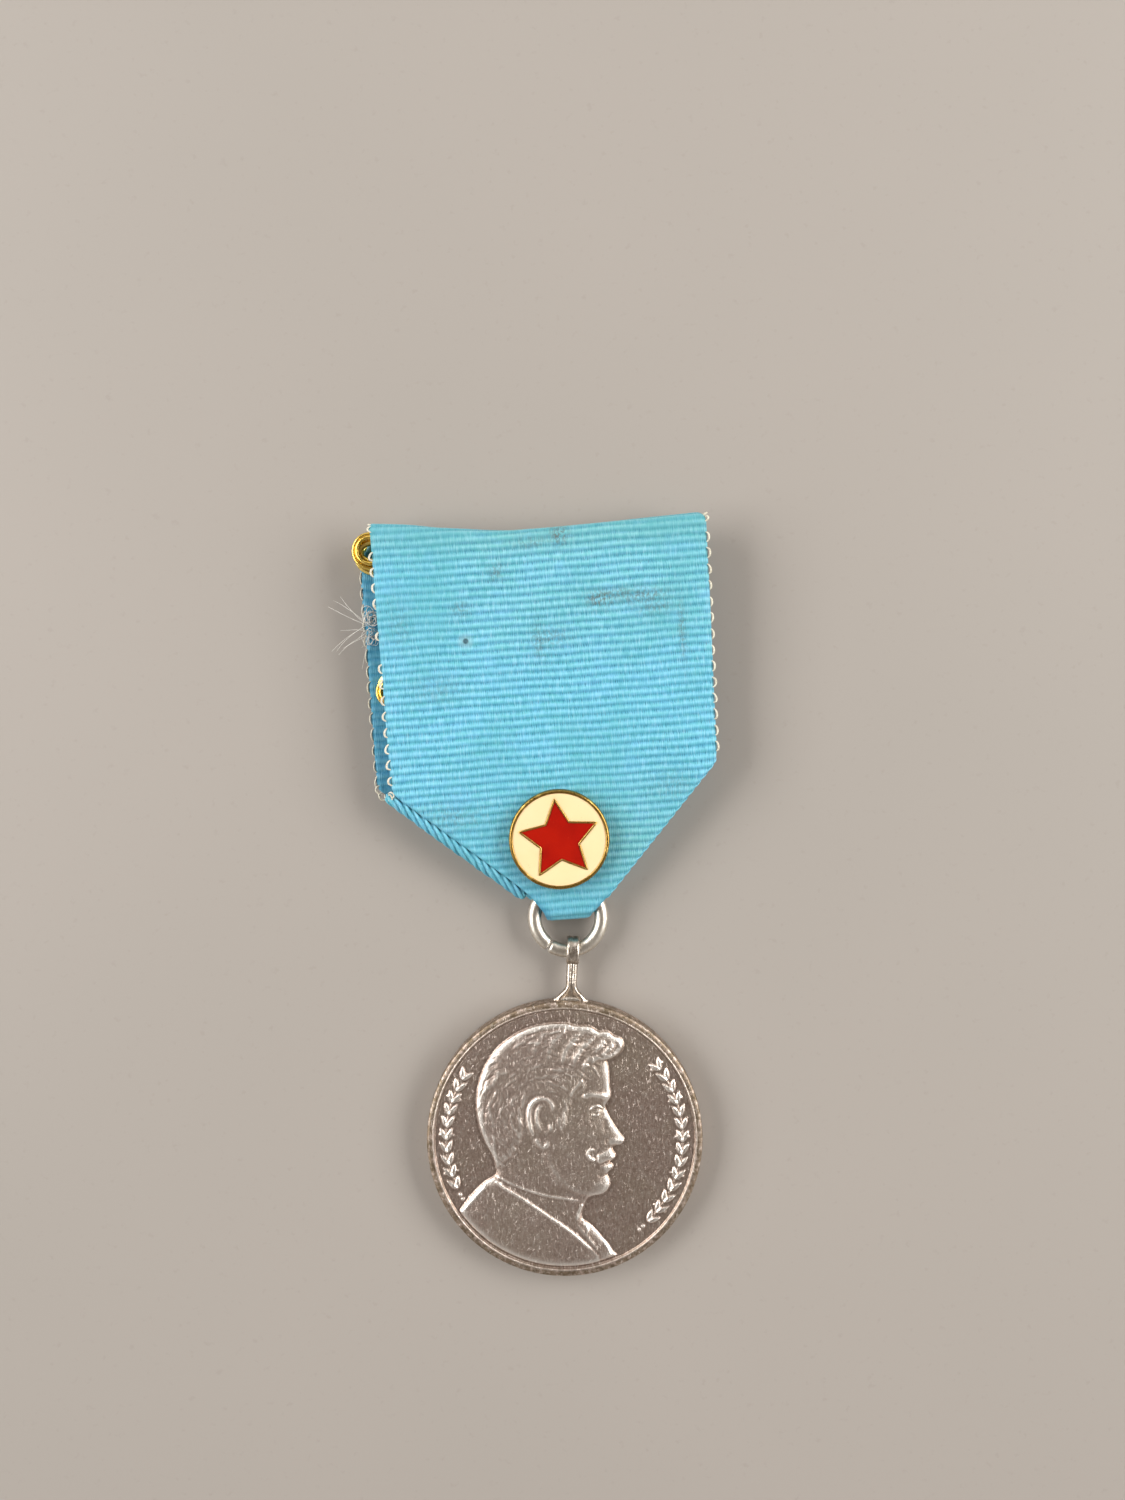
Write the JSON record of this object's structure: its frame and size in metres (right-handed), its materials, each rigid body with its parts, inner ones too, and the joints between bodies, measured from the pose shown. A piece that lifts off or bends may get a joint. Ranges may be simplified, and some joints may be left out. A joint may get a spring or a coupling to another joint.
{
  "type": "ribbon medal",
  "caption": "Round medal with a relief bust, hung by an eyelet and ring from a pointed fold of ribbed ribbon with an enamelled badge and safety pins behind.",
  "frame": {"origin": "under the middle of the medal and its ribbon, on the surface it lies on", "axes": "+Z out of the face, +Y along the ribbon from the medal to the top fold, +X to the right of the face"},
  "size_m": [0.0406, 0.0878, 0.0053],
  "materials": {
    "ribbon": "ribbed sky-blue ribbon",
    "thread": "cotton thread",
    "silvered_brass": "worn silver plate",
    "ring_metal": "bright wire",
    "gilt_wire": "bright brass wire",
    "gilt_copper": "gilt copper",
    "white_enamel": "opaque cream enamel",
    "red_enamel": "glossy red enamel"
  },
  "bodies": {
    "ribbon": {"ribbon_front": "ribbon", "ribbon_back": "ribbon", "seam_thread": "thread", "upper_pin_spine": "gilt_wire", "upper_pin_cap": "gilt_wire", "lower_pin_spine": "gilt_wire", "lower_pin_cap": "gilt_wire", "badge_disc": "gilt_copper", "white_enamel": "white_enamel", "red_enamel": "red_enamel", "badge_leg_left": "gilt_copper", "badge_leg_right": "gilt_copper"},
    "neck": {"ribbon_neck": "ribbon"},
    "ring": {"suspension_ring": "ring_metal"},
    "medal": {"medal_eyelet": "silvered_brass", "medal_disc": "silvered_brass"},
    "upper_arm": {"upper_pin_arm": "gilt_wire"},
    "lower_arm": {"lower_pin_arm": "gilt_wire"}
  },
  "joints": [
    {"name": "neck_bend", "type": "hinge", "parent": "ribbon", "child": "neck", "pos_m": [0.00124, 0.00067, 0.00305], "axis": [-1, 0, 0], "range_deg": [-10, 28]},
    {"name": "ring_turn", "type": "hinge", "parent": "neck", "child": "ring", "pos_m": [0.00124, -0.00233, 0.0017], "axis": [0, 0, 1], "range_deg": [-55, 55]},
    {"name": "medal_swing", "type": "hinge", "parent": "ring", "child": "medal", "pos_m": [0.00153, -0.00622, 0.0017], "axis": [-0.9931, 0.1175, 0], "range_deg": [-110, 110]},
    {"name": "upper_pin_open", "type": "hinge", "parent": "ribbon", "child": "upper_arm", "pos_m": [-0.01826, 0.04097, 0.00075], "axis": [0, 0, -1], "range_deg": [0, 30]},
    {"name": "lower_pin_open", "type": "hinge", "parent": "ribbon", "child": "lower_arm", "pos_m": [-0.01676, 0.02567, 0.00075], "axis": [0, 0, -1], "range_deg": [0, 30]}
  ]
}
